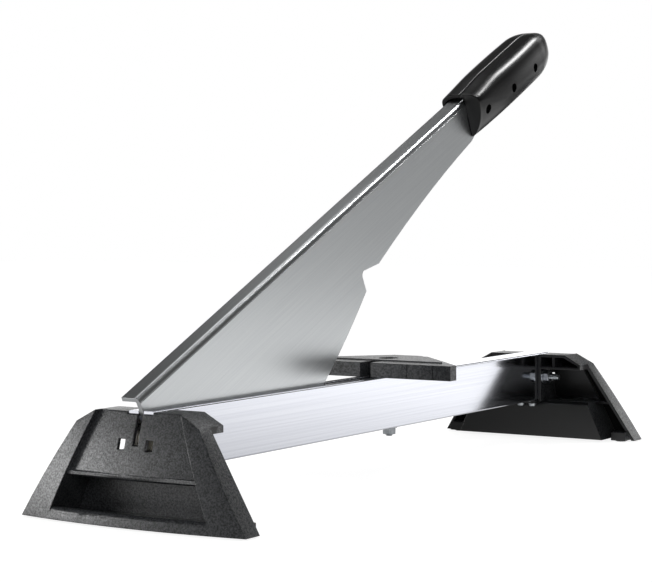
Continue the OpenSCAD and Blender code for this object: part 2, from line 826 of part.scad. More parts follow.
// Outline of the stop plate from above, drawn in by an even margin
module stop_outline(margin) {
    side = stop_w / 2 - margin;
    front = -stop_front + margin;
    back = stop_back - margin;
    slant = stop_w / 2 - stop_front + stop_end - margin * sqrt(2);
    polygon(mirror_x([[side, front], [side, slant - side], [slant - back, back]]));
}

module stop_plate() {
    groove_w = 1.6;
    core_w = stop_recess_d + 2 * stop_wall;
    wing_rib_x = (stop_w + core_w) / 4;
    color("#3b3d40") at_stop() difference() {
        union() {
            linear_extrude(stop_t - plateau_h) stop_outline(0);
            linear_extrude(stop_t) intersection() {
                stop_outline(6);
                translate([-stop_w, -stop_front + plateau_y]) square([2 * stop_w, big]);
            }
        }
        // hollow wings with a rib each, beside the core that holds the bolt and the blade gap
        translate([0, 0, -1]) linear_extrude(stop_t - plateau_h - stop_wall + 1) difference() {
            stop_outline(stop_wall);
            translate([-core_w / 2, -stop_front]) square([core_w, stop_front + stop_back]);
            for (x = [-1, 1]) translate([x * wing_rib_x - stop_wall / 2, -stop_front])
                square([stop_wall, stop_front + stop_back]);
        }
        translate([-gap_w / 2, -stop_front - 1, -1]) cube([gap_w, gap_depth + 1, stop_t + 2]);
        translate([0, 0, stop_recess_floor]) cylinder(d = stop_recess_d, h = stop_t);
        translate([0, 0, -1]) cylinder(d = bolt_d + 2 * run_clear, h = stop_t);
        for (x = [-0.4, -0.25, 0.25, 0.4]) translate([x * stop_w - groove_w / 2, -stop_front - 1, -1])
            cube([groove_w, 1.5, stop_t]);
    }
}

// Bolt of the stop: its socket head lies in the recess, its nut hangs under the beam
module stop_bolt() {
    head_z = stop_recess_floor + washer_t + stop_lift;
    end_z = -stop_lift - beam_h - washer_t - nut_h - 1.5;
    color("#c9ccd0") at_stop() difference() {
        union() {
            translate([0, 0, end_z]) cylinder(d = bolt_d, h = head_z - end_z);
            translate([0, 0, head_z]) cylinder(d = nut_af, h = 4);
        }
        translate([0, 0, head_z + 1.5]) hex(bolt_d - 1, 4);
    }
}

module stop_top_washer() {
    color("#c9ccd0") at_stop() translate([0, 0, stop_recess_floor + stop_lift])
        ring(washer_d, bolt_d + 2 * hole_clear, washer_t);
}

module stop_bottom_washer() {
    color("#c9ccd0") at_stop() translate([0, 0, -stop_lift - beam_h - washer_t])
        ring(washer_d, bolt_d + 2 * hole_clear, washer_t);
}

module stop_nut() {
    color("#c9ccd0") at_stop() translate([0, 0, -stop_lift - beam_h - washer_t - nut_h]) difference() {
        hex(nut_af, nut_h);
        translate([0, 0, -1]) cylinder(d = bolt_d + 2 * hole_clear, h = nut_h + 2);
    }
}

// Sleeve that takes the pull of the stop bolt between the top and bottom of the beam
module stop_sleeve() {
    color("#c9ccd0") translate([0, stop_y, beam_z + beam_wall])
        ring(nut_af, bolt_d + 2 * hole_clear, beam_h - 2 * beam_wall);
}

beam();
front_foot();
rear_foot();
front_pads();
rear_pads();
front_foot_screws();
rear_foot_screws();
pivot_bolt();
pivot_washers();
pivot_nut();
pivot_bushes();
rear_bolt();
rear_washers();
rear_nut();
rear_sleeve();
cutting_arm();
left_grip_shell();
right_grip_shell();
grip_screws();
grip_nuts();
stop_plate();
stop_bolt();
stop_top_washer();
stop_bottom_washer();
stop_nut();
stop_sleeve();
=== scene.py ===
import json
import math

import bmesh
import bpy
from mathutils import Matrix, Vector
from mathutils.bvhtree import BVHTree


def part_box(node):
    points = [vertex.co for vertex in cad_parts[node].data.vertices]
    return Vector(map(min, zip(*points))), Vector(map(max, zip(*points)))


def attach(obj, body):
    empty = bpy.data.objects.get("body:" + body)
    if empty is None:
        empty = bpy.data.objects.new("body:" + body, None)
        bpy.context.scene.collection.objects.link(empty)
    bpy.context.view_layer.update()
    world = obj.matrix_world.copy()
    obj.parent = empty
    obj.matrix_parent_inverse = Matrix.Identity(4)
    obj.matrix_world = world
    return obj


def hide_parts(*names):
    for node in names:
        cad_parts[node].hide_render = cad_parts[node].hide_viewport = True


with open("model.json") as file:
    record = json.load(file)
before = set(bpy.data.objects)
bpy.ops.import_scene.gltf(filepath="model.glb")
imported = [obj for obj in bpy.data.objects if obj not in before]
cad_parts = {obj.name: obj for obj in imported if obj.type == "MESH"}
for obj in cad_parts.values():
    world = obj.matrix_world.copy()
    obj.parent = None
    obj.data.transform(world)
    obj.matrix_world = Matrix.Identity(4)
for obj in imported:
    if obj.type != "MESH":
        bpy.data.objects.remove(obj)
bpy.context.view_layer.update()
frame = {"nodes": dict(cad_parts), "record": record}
nodes = frame["nodes"]
scene = bpy.context.scene
mm = 0.001
record = frame["record"]
slotOf = {part["node"]: part["material_slot"] for part in record["subparts"]}
bodyOf = {node: body for body, names in record["behaviour"]["bodies"].items() for node in names}
print("frame loaded:", len(nodes), "nodes")

# Where the arm turns, and its rise at rest, in degrees
armPlace = {"pivot": record["behaviour"]["joints"][0]["pos_m"], "angle": 25.9}


def hexColour(text):                      # sRGB hex to the linear colour that the shaders take
    def linear(c):
        return c / 12.92 if c <= 0.04045 else ((c + 0.055) / 1.055) ** 2.4
    return tuple(linear(int(text[i:i + 2], 16) / 255) for i in (1, 3, 5)) + (1.0,)


def addNode(tree, kind, values=None, links=None, stops=(), **settings):
    node = tree.nodes.new(kind)
    for name, value in settings.items():
        setattr(node, name, value)
    for name, value in (values or {}).items():
        node.inputs[name].default_value = value
    for name, socket in (links or {}).items():
        tree.links.new(socket, node.inputs[name])
    for i, (position, colour) in enumerate(stops):
        node.color_ramp.elements[i].position = position
        node.color_ramp.elements[i].color = hexColour(colour)
    return node


def newMaterial(name, **shader):          # a material with its Principled shader set directly
    material = bpy.data.materials.new(name)
    material.use_nodes = True
    tree = material.node_tree
    principled = tree.nodes["Principled BSDF"]
    for socket, value in shader.items():
        principled.inputs[socket.replace("_", " ")].default_value = value
    place = addNode(tree, "ShaderNodeTexCoord")
    return material, tree, principled, place.outputs["Object"]


def paint(tree, shader, factor, look):    # base colour between the look's two colours
    colour = addNode(tree, "ShaderNodeValToRGB", links={"Fac": factor},
                     stops=zip(look["between"], (look["dark"], look["light"])))
    tree.links.new(colour.outputs["Color"], shader.inputs["Base Color"])


def patterned(name, look, turn=0.0, **shader):     # a finish with one pattern in colour, gloss and relief
    material, tree, principled, place = newMaterial(name, Roughness=look["roughness"], **shader)
    if "drawnOut" in look:                # lines, turned by some degrees about X and drawn out along Y
        turned = addNode(tree, "ShaderNodeMapping", {"Rotation": (-math.radians(turn), 0, 0)},
                         {"Vector": place})
        drawn = addNode(tree, "ShaderNodeMapping", {"Scale": (1, look["drawnOut"], 1)},
                        {"Vector": turned.outputs[0]})
        place = drawn.outputs[0]
    noise = addNode(tree, "ShaderNodeTexNoise", {"Scale": 1 / (look["patternMm"] * mm),
                                                 "Detail": look["detail"], "Roughness": look["fine"]},
                    {"Vector": place})
    pattern = noise.outputs["Fac"]
    paint(tree, principled, pattern, look)
    if "spread" in look:                  # gloss that varies with the pattern
        rough = addNode(tree, "ShaderNodeMapRange", {"To Min": look["roughness"] - look["spread"],
                                                     "To Max": look["roughness"] + look["spread"]},
                        {"Value": pattern})
        tree.links.new(rough.outputs[0], principled.inputs["Roughness"])
    if "bump" in look:
        bump = addNode(tree, "ShaderNodeBump", {"Strength": look["bump"], "Distance": look["depthMm"] * mm},
                       {"Height": pattern})
        tree.links.new(bump.outputs["Normal"], principled.inputs["Normal"])
    return material


# Spark-eroded ABS: charcoal, dull, with a pebbled skin that breaks up every reflection.
# The real grain is about 0.3 mm. It is drawn at 1.3 mm so that it shows in the render.
# The mould is polished inside: on the feet, faces that look towards the middle of the beam have no grain.
# Those inner faces also take the dark end of the colour, which is painted shade on the feet's inner faces.
absLook = {"dark": "#0e0f10", "light": "#424447", "between": (0.38, 0.64), "grainMm": 1.3, "detail": 3.0,
           "fine": 0.65, "cloudMm": 35, "cloudDetail": 2.0, "cloudShare": 0.2, "ior": 1.53,
           "roughness": 0.36, "bump": 1.0, "depthMm": 0.16, "skin": 0.8, "skinFrom": 0.4, "skinTo": 0.62,
           "skinRoughness": 0.3, "skinBump": 0.45, "polishedPaintedDarkBelow": -0.2, "grainedAbove": -0.1}


def charcoalAbs():
    look = absLook
    material, tree, shader, place = newMaterial("charcoalAbs", Roughness=look["roughness"], IOR=look["ior"],
                                                Coat_Roughness=look["skinRoughness"])
    grain = addNode(tree, "ShaderNodeTexNoise", {"Scale": 1 / (look["grainMm"] * mm),
                                                 "Detail": look["detail"], "Roughness": look["fine"]},
                    {"Vector": place})
    cloud = addNode(tree, "ShaderNodeTexNoise", {"Scale": 1 / (look["cloudMm"] * mm),
                                                 "Detail": look["cloudDetail"]}, {"Vector": place})
    both = addNode(tree, "ShaderNodeMix", {"Factor": look["cloudShare"]},
                   {"A": grain.outputs["Fac"], "B": cloud.outputs["Fac"]})
    # Place along the beam, in metres, times the face's direction: negative where it looks to the middle
    along = addNode(tree, "ShaderNodeSeparateXYZ", links={0: place})
    facing = addNode(tree, "ShaderNodeSeparateXYZ", links={0: place.node.outputs["Normal"]})
    outward = addNode(tree, "ShaderNodeMath", links={0: along.outputs["Y"], 1: facing.outputs["Y"]},
                      operation="MULTIPLY")
    grainAndPaintedShade = addNode(tree, "ShaderNodeMapRange", {"From Min": look["polishedPaintedDarkBelow"],
                                                   "From Max": look["grainedAbove"]},
                      {"Value": outward.outputs[0]})
    # Faces that look to the middle lose their grain, as the mould is polished there, and are painted in the
    # darkest colour: painted shade.
    toneWithPaintedShade, relief = (addNode(tree, "ShaderNodeMath", links={0: pattern, 1: grainAndPaintedShade.outputs[0]},
                            operation="MULTIPLY").outputs[0]
                    for pattern in (both.outputs[0], grain.outputs["Fac"]))
    paint(tree, shader, toneWithPaintedShade, look)
    glint = addNode(tree, "ShaderNodeMapRange", {"From Min": look["skinFrom"], "From Max": look["skinTo"],
                                                 "To Max": look["skin"]}, {"Value": relief})
    tree.links.new(glint.outputs[0], shader.inputs["Coat Weight"])
    for strength, socket in ((look["bump"], "Normal"), (look["skinBump"], "Coat Normal")):
        bump = addNode(tree, "ShaderNodeBump", {"Strength": strength, "Distance": look["depthMm"] * mm},
                       {"Height": relief})
        tree.links.new(bump.outputs["Normal"], shader.inputs[socket])
    return material


# Rolled steel sheet with a satin zinc skin: soft, blurred reflections with faint lines along the arm.
steelLook = {"dark": "#d4d7d9", "light": "#dde0e1", "between": (0.3, 0.7), "patternMm": 0.9, "detail": 3.0,
             "fine": 0.6, "drawnOut": 0.012, "roughness": 0.29, "spread": 0.03, "bump": 0.008,
             "depthMm": 0.02}


def satinSteel():
    return patterned("satinSteel", steelLook, armPlace["angle"], Metallic=1.0)


# Bright extruded aluminium: almost a mirror, with fine die lines along the beam.
aluminiumLook = {"dark": "#e0e2ea", "light": "#e8eaf1", "between": (0.35, 0.65), "patternMm": 1.2,
                 "detail": 3.0, "fine": 0.5, "drawnOut": 0.004, "roughness": 0.13, "spread": 0.015,
                 "bump": 0.0012, "depthMm": 0.02}


def brightAluminium():
    return patterned("brightAluminium", aluminiumLook, Metallic=1.0)


# Zinc-plated steel: small bright fasteners with a slightly uneven, bluish plating.
zincLook = {"dark": "#9ea3a8", "light": "#cdd1d4", "between": (0.3, 0.7), "patternMm": 2.5, "detail": 3.0,
            "fine": 0.5, "roughness": 0.3}


def zincSteel():
    return patterned("zincSteel", zincLook, Metallic=1.0)


# Glossy moulded nylon: deep black that shows the lamps as long bright ridges.
# The skin carries a faint moulded ripple, drawn at 1.4 mm.
nylonLook = {"dark": "#070708", "light": "#0f0f10", "between": (0.3, 0.7), "patternMm": 1.4, "detail": 2.0,
             "fine": 0.5, "roughness": 0.29, "ior": 1.53, "bump": 0.12, "depthMm": 0.1}


def glossyNylon():
    return patterned("glossyNylon", nylonLook, IOR=nylonLook["ior"])


# Moulded rubber: black and dull, with a little dust.
rubberLook = {"dark": "#141415", "light": "#222223", "between": (0.3, 0.7), "patternMm": 1.5, "detail": 3.0,
              "fine": 0.5, "roughness": 0.8, "ior": 1.52}


def padRubber():
    return patterned("padRubber", rubberLook, IOR=rubberLook["ior"])


# Natural nylon of the bushes: turned, milky and slightly yellow.
bushLook = {"dark": "#cfc8b4", "light": "#e4dfd0", "between": (0.3, 0.7), "patternMm": 0.8, "detail": 2.0,
            "fine": 0.5, "roughness": 0.45, "ior": 1.53}


def naturalNylon():
    return patterned("naturalNylon", bushLook, IOR=bushLook["ior"])


finishes = {"charcoal_abs": charcoalAbs(), "satin_steel": satinSteel(),
            "bright_aluminium": brightAluminium(), "zinc_steel": zincSteel(), "black_nylon": glossyNylon(),
            "black_rubber": padRubber(), "natural_nylon": naturalNylon()}
for name, piece in nodes.items():
    piece.data.materials.clear()
    piece.data.materials.append(finishes[slotOf[name]])
print("finishes set:", len(finishes))


def standFor(piece, node):                # the piece takes the node's place, body and finish
    piece.data.materials.clear()
    piece.data.materials.append(finishes[slotOf[node]])
    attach(piece, bodyOf[node])
    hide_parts(node)


def smoothShade(mesh, sharpAbove):        # smooth faces, with edges above this angle in degrees kept sharp
    mesh.polygons.foreach_set("use_smooth", [True] * len(mesh.polygons))
    mesh.set_sharp_from_angle(angle=math.radians(sharpAbove))


def applyModifiers(piece):
    graph = bpy.context.evaluated_depsgraph_get()
    mesh = bpy.data.meshes.new_from_object(piece.evaluated_get(graph), preserve_all_data_layers=True,
                                           depsgraph=graph)
    piece.modifiers.clear()
    piece.data = mesh


def loft(name, rings, tube=False):        # skin over rings of points, capped, or joined end to end as a tube
    count, total = len(rings[0]), len(rings)
    faces = [(a * count + k, a * count + (k + 1) % count,
              (a + 1) % total * count + (k + 1) % count, (a + 1) % total * count + k)
             for a in range(total if tube else total - 1) for k in range(count)]
    if not tube:
        faces += [tuple(range(count)), tuple(range((total - 1) * count, total * count))]
    mesh = bpy.data.meshes.new(name)
    mesh.from_pydata([point for ring in rings for point in ring], [], faces)
    work = bmesh.new()
    work.from_mesh(mesh)
    bmesh.ops.recalc_face_normals(work, faces=work.faces)
    work.to_mesh(mesh)
    work.free()
    piece = bpy.data.objects.new(name, mesh)
    scene.collection.objects.link(piece)
    return piece


# Moulded, rolled and sawn edges are never sharp: the radius in mm for each node whose edges are rounded
edgeRadius = {"front_foot": 0.6, "rear_foot": 0.6, "stop_plate": 0.4, "cutting_arm": 0.25, "beam": 0.2,
              "pivot_washers": 0.2, "rear_washers": 0.2, "stop_top_washer": 0.2, "stop_bottom_washer": 0.2,
              "front_pads": 0.4, "rear_pads": 0.4, "pivot_bushes": 0.3, "front_foot_screws": 0.3,
              "rear_foot_screws": 0.3, "grip_screws": 0.25, "rear_sleeve": 0.2, "stop_sleeve": 0.2}
# How they are rounded: merge in mm, flat, sharp and smooth in degrees, room and stray in radii
rounding = {"merge": 0.002, "flat": 0.6, "sharp": 32, "smooth": 26, "segments": 3, "room": 3,
            "leastWeight": 0.4, "stray": 0.5}


def roundEdges(node, radius):
    cad = nodes[node].data
    mesh = cad.copy()
    piece = bpy.data.objects.new(node + "Rounded", mesh)
    scene.collection.objects.link(piece)
    work = bmesh.new()
    work.from_mesh(mesh)
    bmesh.ops.remove_doubles(work, verts=work.verts, dist=rounding["merge"] * mm)
    bmesh.ops.dissolve_limit(work, angle_limit=math.radians(rounding["flat"]), verts=work.verts,
                             edges=work.edges)
    share = work.edges.layers.float.new("bevel_weight_edge")
    sharp = math.radians(rounding["sharp"])
    for edge in work.edges:               # outer edges only, and narrow faces take a smaller radius, or none
        if len(edge.link_faces) == 2 and edge.is_convex and edge.calc_face_angle() > sharp:
            room = min(2 * face.calc_area() / face.calc_perimeter() for face in edge.link_faces)
            weight = min(1.0, room / (rounding["room"] * radius * mm))
            edge[share] = weight if weight > rounding["leastWeight"] else 0.0
    work.to_mesh(mesh)
    work.free()
    bevel = piece.modifiers.new("roundedEdges", "BEVEL")
    bevel.width = radius * mm
    bevel.segments = rounding["segments"]
    bevel.limit_method = "WEIGHT"
    bevel.use_clamp_overlap = False
    bevel.loop_slide = False
    applyModifiers(piece)
    surface = BVHTree.FromPolygons([v.co for v in cad.vertices], [tuple(f.vertices) for f in cad.polygons])
    for vertex in piece.data.vertices:    # one thrown far off by a sharp corner goes back to the surface
        place, normal, index, gap = surface.find_nearest(vertex.co)
        if gap > rounding["stray"] * radius * mm:
            vertex.co = place
    work = bmesh.new()                    # faces with many corners are split, which keeps them flat
    work.from_mesh(piece.data)
    bmesh.ops.triangulate(work, faces=[face for face in work.faces if len(face.verts) > 4])
    work.to_mesh(piece.data)
    work.free()
    smoothShade(piece.data, rounding["smooth"])
    flatten = piece.modifiers.new("flatFaces", "WEIGHTED_NORMAL")
    flatten.keep_sharp = True
    applyModifiers(piece)
    standFor(piece, node)


for node, radius in edgeRadius.items():
    roundEdges(node, radius)
print("edges rounded:", len(edgeRadius))

ringSteps = 48                            # points round a bolt, a nut or a hole


def roundRadii(radius):
    return [radius] * ringSteps


def hexRadii(flats):                      # radius of a hexagon at each step, with a corner at the first
    return [flats / 2 / math.cos(math.tau * k / ringSteps % (math.pi / 3) - math.pi / 6)
            for k in range(ringSteps)]


def ringAt(level, radii, place):          # the points of a ring, set by place(a, b, level)
    turns = [math.tau * k / ringSteps for k in range(ringSteps)]
    return [place(r * math.cos(turn), r * math.sin(turn), level) for r, turn in zip(radii, turns)]


# Grip: two half shells, lofted along the arm, in mm. u runs along the flange from the pivot, v square to it.
# gripFront is the section at its front, gripRoom the space for the arm, gripScrew the holes for the screws.
gripShape = {"front": 484.0, "length": 156.0, "cap": 39.0, "frontWidth": 36.0, "midWidth": 43.6,
             "endWidth": 41.4, "offset": 2.2, "top": 43.5, "height": 42.0, "lean": 1.5, "topSquare": 0.65,
             "keel": 1.1, "capShape": 1.3, "capBlunt": 0.25, "capTurn": 88.5, "rim": 0.8, "seamGap": 0.4,
             "seamRound": 1.1, "seamShare": 0.2, "wall": 3.0, "sectionSteps": 48, "seamSteps": 4,
             "rimSteps": 4, "bodySteps": 32, "capSteps": 20, "smooth": 38}
gripFront = {"wideAt": 33.0, "top": 41.0, "halfWidth": 18.4, "crown": 0.85, "keel": 1.12, "blendTo": 0.4}
gripRoom = {"plate": 1.7, "band": 2.05, "webTop": 31.2, "lap": 0.2, "flangeTop": 35.4, "flangeLeft": -13.5,
            "flangeDepth": 30.2, "mouthDepth": 8.0, "mouthLow": 27.2, "ahead": 12, "below": -30,
            "barEnd": (481.0, -1.0), "tang": (506.0, 620.2, 7.3, 29.4)}
gripScrew = {"count": 3, "start": 495.6, "pitch": 44.4, "v": 22.0, "hole": 4.2, "recess": 8.0,
             "nutFlats": 7.2, "seat": 8.0, "reach": 60}


def onArm(x, u, v):                       # arm coordinates in mm to the frame's metres, at rest
    lift = math.radians(armPlace["angle"])
    along = Vector((0, math.cos(lift), math.sin(lift)))
    square = Vector((0, -math.sin(lift), math.cos(lift)))
    return Vector(armPlace["pivot"]) + (Vector((x, 0, 0)) + along * u + square * v) * mm


def gripSection(halfWidth, halfHeight, side, front):      # front is 1 at the grip's front and 0 behind it
    shape = gripShape
    middle = shape["top"] - shape["height"] / 2
    low = shape["top"] - shape["height"]
    shrink = halfHeight / (shape["height"] / 2)
    points = []
    for i in range(shape["sectionSteps"] + 1):            # from the crest, round the side, down to the keel
        turn = math.pi * (0.5 - i / shape["sectionSteps"])
        c, s = max(math.cos(turn), 0), abs(math.sin(turn))
        up = i < shape["sectionSteps"] / 2
        power = shape["topSquare"] if up else shape["keel"]
        x = halfWidth * c ** power
        v = middle + halfHeight * s ** power * (1 if up else -1)
        power = gripFront["crown"] if up else gripFront["keel"]
        reach = gripFront["top"] - gripFront["wideAt"] if up else low - gripFront["wideAt"]
        narrow = gripFront["halfWidth"] * c ** power + halfWidth - shape["frontWidth"] / 2
        lifted = middle + (gripFront["wideAt"] + reach * s ** power - middle) * shrink
        points.append((max(x + (narrow - x) * front, 0), v + (lifted - v) * front))
    start, drop = shape["seamGap"] / 2, min(shape["seamRound"], shape["seamShare"] * halfWidth)
    widest = max(x for x, v in points)
    body = [(start + drop + x * (1 - (start + drop) / widest), v) for x, v in points]
    seam = []                             # rounded edges where the halves meet
    for i in range(shape["seamSteps"]):
        turn = math.pi / 2 * i / shape["seamSteps"]
        seam.append((start + drop * (1 - math.cos(turn)), drop * (1 - math.sin(turn))))
    crest, keel = points[0][1], points[-1][1]
    rounded = [(x, crest - d) for x, d in seam] + body + [(x, keel + d) for x, d in reversed(seam)]
    return [(side * x - shape["offset"], v) for x, v in rounded]


def gripHalf(name, side):
    shape = gripShape
    front, rim = shape["front"], shape["rim"]
    straight = shape["length"] - shape["cap"]
    stations = []                         # u, inset of the rounded front rim, width share and height share
    for i in range(shape["rimSteps"] + 1):
        turn = math.pi / 2 * i / shape["rimSteps"]
        stations.append((front + rim * (1 - math.cos(turn)), rim * (1 - math.sin(turn)), 1, 1))
    for i in range(1, shape["bodySteps"] + 1):
        stations.append((front + rim + (straight - rim) * i / shape["bodySteps"], 0, 1, 1))
    for i in range(1, shape["capSteps"] + 1):
        turn = math.radians(shape["capTurn"]) * i / shape["capSteps"]
        k = math.cos(turn) ** shape["capShape"]
        stations.append((front + straight + shape["cap"] * math.sin(turn), 0, k,
                         shape["capBlunt"] + (1 - shape["capBlunt"]) * k))
    rings = []
    for u, inset, wide, tall in stations:
        t = min((u - front) / straight, 1)       # the width runs through its front, middle and end values
        half = (shape["frontWidth"] * (1 - t) * (1 - 2 * t) + 4 * shape["midWidth"] * t * (1 - t)
                + shape["endWidth"] * t * (2 * t - 1)) / 2
        blend = max(0, 1 - t / gripFront["blendTo"])      # eased from the front's section to the body's
        section = gripSection(half * wide - inset, shape["height"] / 2 * tall - inset, side,
                              blend * blend * (3 - 2 * blend))
        slant = shape["lean"] * (1 - t)
        rings.append([onArm(x, u - slant * (shape["top"] - v) / shape["height"], v) for x, v in section])
    return loft(name, rings)


def prism(name, outline, low, high, place):      # an outline between two levels, set by place(a, b, level)
    return loft(name, [[place(a, b, level) for a, b in outline] for level in (low, high)])


def cutAway(piece, cutter):
    cut = piece.modifiers.new("cut", "BOOLEAN")
    cut.operation = "DIFFERENCE"
    cut.solver = "EXACT"
    cut.object = cutter
    applyModifiers(piece)


def gripCutters(side):                    # what is cut from the left half, side -1, or the right one, side 1
    shape, room, screw = gripShape, gripRoom, gripScrew
    front = shape["front"] - room["ahead"]

    def acrossArm(u, v, x):
        return onArm(x, u, v)

    def alongArm(x, v, u):
        return onArm(x, u, v)

    start, end, low, high = room["tang"]
    plate = [(front, room["below"]), room["barEnd"], (start, low), (end, low), (end, high), (start, high),
             (start, room["flangeTop"]), (front, room["flangeTop"])]
    cutters = [prism("plateRoom", plate, -room["plate"], room["band"], acrossArm)] if side > 0 else []
    under = room["webTop"] - room["lap"]
    flange = [(room["flangeLeft"], under), (room["plate"], under),
              (room["plate"], room["flangeTop"]), (room["flangeLeft"], room["flangeTop"])]
    cutters.append(prism("flangeRoom", flange, front, shape["front"] + room["flangeDepth"], alongArm))
    seam, wall = shape["seamSteps"], shape["wall"]
    inner = gripSection(shape["frontWidth"] / 2 - wall, shape["height"] / 2 - wall, -1, 1.0)
    mouth = [(room["plate"], inner[seam][1])] + [p for p in inner[seam:-seam] if p[1] > room["mouthLow"]]
    mouth += [(mouth[-1][0], room["mouthLow"]), (room["plate"], room["mouthLow"])]
    cutters.append(prism("mouthRoom", mouth, front, shape["front"] + room["mouthDepth"], alongArm))
    wide = roundRadii(screw["recess"] / 2) if side > 0 else hexRadii(screw["nutFlats"])
    narrow = roundRadii(screw["hole"] / 2)
    for i in range(screw["count"]):
        def roundScrew(a, b, x):
            return onArm(x, screw["start"] + screw["pitch"] * i + a, screw["v"] + b)

        steps = ((screw["reach"], wide), (screw["seat"], wide), (screw["seat"], narrow),
                 (-screw["reach"], narrow))
        cutters.append(loft("screwRoom", [ringAt(side * x, radii, roundScrew) for x, radii in steps]))
    return cutters


def makeGrip():
    for node, name, side in (("left_grip_shell", "leftGripShell", -1),
                             ("right_grip_shell", "rightGripShell", 1)):
        piece = gripHalf(name, side)
        for cutter in gripCutters(side):
            cutAway(piece, cutter)
            bpy.data.objects.remove(cutter)
        smoothShade(piece.data, gripShape["smooth"])
        standFor(piece, node)


makeGrip()
print("grip made")

# Bolts and nuts, M6, in mm and degrees: chamfered hexagons and rolled threads
fastener = {"flats": 10.0, "head": 4.0, "shank": 3.0, "minor": 2.4, "pitch": 1.0, "ringsPerTurn": 8,
            "threaded": 20.0, "tip": 0.2, "bore": 3.1, "sink": 0.4, "chamfer": 30, "chamferSteps": 4,
            "faceShare": 0.49, "socket": 5.0, "socketDepth": 2.5, "smooth": 30}


def hexRings(low, high, both):            # hexagon between two levels, chamfered at its low end or at both
    edge = fastener["faceShare"] * fastener["flats"]
    slope = math.tan(math.radians(fastener["chamfer"]))
    depth = (fastener["flats"] / math.sqrt(3) - edge) * slope
    steps = [depth * k / fastener["chamferSteps"] for k in range(fastener["chamferSteps"] + 1)]
    levels = [low + step for step in steps]
    levels += [high - step for step in reversed(steps)] if both else [high]
    rings = []
    for level in levels:
        gap = min(level - low, high - level) if both else level - low
        rings.append((level, [min(r, edge + gap / slope) for r in hexRadii(fastener["flats"])]))
    return rings


def threadRings(start, end):              # rolled thread from its run-out to a pointed end
    minor, shank, pitch = fastener["minor"], fastener["shank"], fastener["pitch"]
    total, way = abs(end - start), math.copysign(1, end - start)
    count = round(total / pitch * fastener["ringsPerTurn"])
    rings = []
    for i in range(count + 1):
        done = total * i / count
        radii = []
        for k in range(ringSteps):
            phase = (done / pitch - k / ringSteps) % 1
            ridge = max(1 - abs(2 * phase - 1), 1 - done / pitch)
            radii.append(min(minor + (shank - minor) * ridge, minor - fastener["tip"] + total - done))
        rings.append((start + way * done, radii))
    return rings


def makeFasteners():
    size = fastener
    wide = size["flats"] / 2
    hole, sunk = roundRadii(size["bore"]), roundRadii(size["bore"] + size["sink"])
    for node, upright in (("pivot_bolt", False), ("pivot_nut", False), ("rear_bolt", False),
                          ("rear_nut", False), ("stop_bolt", True), ("stop_nut", True)):
        low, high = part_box(node)
        middle = (low + high) / 2

        def place(a, b, level):
            if upright:
                return Vector((middle.x + a * mm, middle.y + b * mm, level * mm))
            return Vector((level * mm, middle.y + b * mm, middle.z + a * mm))

        first, last = (low.z / mm, high.z / mm) if upright else (low.x / mm, high.x / mm)
        tube = node.endswith("nut")
        if tube:
            rings = hexRings(first, last, True)
            rings += [(last, sunk), (last - size["sink"], hole), (first + size["sink"], hole), (first, sunk)]
        elif upright:                     # round head with a hexagonal socket, on top
            under, socket = last - size["head"], hexRadii(size["socket"])
            rings = [(last - size["socketDepth"], socket), (last, socket),
                     (last, roundRadii(wide - size["sink"])), (last - size["sink"], roundRadii(wide)),
                     (under, roundRadii(wide)), (under, roundRadii(size["shank"]))]
            rings += threadRings(first + size["threaded"], first)
        else:
            rings = hexRings(first, first + size["head"], False)
            rings += [(first + size["head"], roundRadii(size["shank"]))]
            rings += threadRings(last - size["threaded"], last)
        words = node.split("_")
        piece = loft(words[0] + words[1].title() + "Turned",
                     [ringAt(level, radii, place) for level, radii in rings], tube)
        smoothShade(piece.data, size["smooth"])
        standFor(piece, node)


makeFasteners()
print("fasteners made")

# Camera, solved from the edges of the feet and the beam: metres, degrees, and mm for the lens
cameraPlace = {"at": (0.8291, -1.3065, 0.2179), "yaw": 33.67, "pitch": 2.715, "roll": -0.464,
               "lens": 108.66, "sensor": 36, "near": 0.05}


def makeCamera():
    yaw, pitch, roll = (math.radians(cameraPlace[k]) for k in ("yaw", "pitch", "roll"))
    ahead = Vector((-math.sin(yaw) * math.cos(pitch), math.cos(yaw) * math.cos(pitch), -math.sin(pitch)))
    level = Vector((math.cos(yaw), math.sin(yaw), 0))
    above = level.cross(ahead)
    right = level * math.cos(roll) + above * math.sin(roll)
    up = above * math.cos(roll) - level * math.sin(roll)
    camera = bpy.data.objects.new("camera", bpy.data.cameras.new("camera"))
    camera.data.lens = cameraPlace["lens"]
    camera.data.sensor_width = cameraPlace["sensor"]
    camera.data.sensor_fit = "HORIZONTAL"
    camera.data.clip_start = cameraPlace["near"]
    turned = Matrix((right, up, -ahead)).transposed().to_4x4()
    camera.matrix_world = Matrix.Translation(cameraPlace["at"]) @ turned
    scene.collection.objects.link(camera)
    scene.camera = camera


